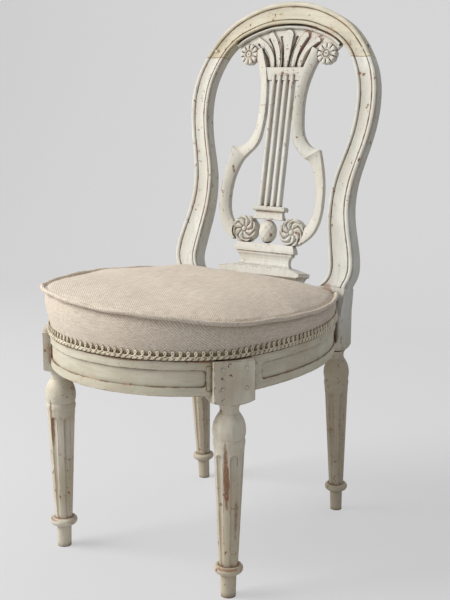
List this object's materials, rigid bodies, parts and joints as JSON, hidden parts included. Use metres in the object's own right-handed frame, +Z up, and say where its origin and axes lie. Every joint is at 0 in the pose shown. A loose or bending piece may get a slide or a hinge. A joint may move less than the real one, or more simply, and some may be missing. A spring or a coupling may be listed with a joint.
{
  "type": "side chair",
  "caption": "Painted side chair with an open oval back holding a carved lyre, turned fluted legs and a round-fronted upholstered seat.",
  "frame": {"origin": "centre of the chair's bounding box, on the floor. The seat has crept 6 mm to the left, so the chair's own centre line stands at x = +6 mm.", "axes": "+Z up, the front of the seat faces -Y, +X is the right-hand side of the picture"},
  "size_m": [0.4615, 0.6114, 0.9549],
  "materials": {
    "painted_wood": "matt distemper paint, worn to the wood on the edges",
    "bare_wood": "unfinished birch or pine",
    "linen": "plain woven linen",
    "gimp": "braided cotton gimp",
    "webbing": "woven jute",
    "hessian": "coarse woven jute",
    "stuffing": "curled hair and wadding, modelled solid",
    "steel": "dull"
  },
  "bodies": {
    "root": {"front_rail": "painted_wood", "side_rail_right": "painted_wood", "side_rail_left": "painted_wood", "rear_rail": "painted_wood", "front_leg_right": "painted_wood", "front_leg_left": "painted_wood", "rear_post_right": "painted_wood", "rear_post_left": "painted_wood", "crest_rail": "painted_wood", "rail_joint_pegs": "painted_wood", "crest_joint_pegs": "painted_wood", "corner_block_front_right": "bare_wood", "corner_block_front_left": "bare_wood", "corner_block_rear_right": "bare_wood", "corner_block_rear_left": "bare_wood", "corner_block_screws": "steel", "lyre_shoe": "painted_wood", "string_base": "painted_wood", "lyre_ball": "painted_wood", "yoke_bar": "painted_wood", "lyre_crown": "painted_wood", "lyre_arm_right": "painted_wood", "lyre_arm_left": "painted_wood", "upper_rosette_right": "painted_wood", "upper_rosette_left": "painted_wood", "lower_rosette_right": "painted_wood", "lower_rosette_left": "painted_wood", "lyre_string_1": "painted_wood", "lyre_string_2": "painted_wood", "lyre_string_3": "painted_wood", "lyre_string_4": "painted_wood", "webbing_lengthwise": "webbing", "webbing_crosswise": "webbing", "webbing_tacks": "steel", "hessian": "hessian", "seat_stuffing": "stuffing", "seat_cover": "linen", "seat_welt": "linen", "seat_gimp": "gimp"}
  },
  "joints": []
}
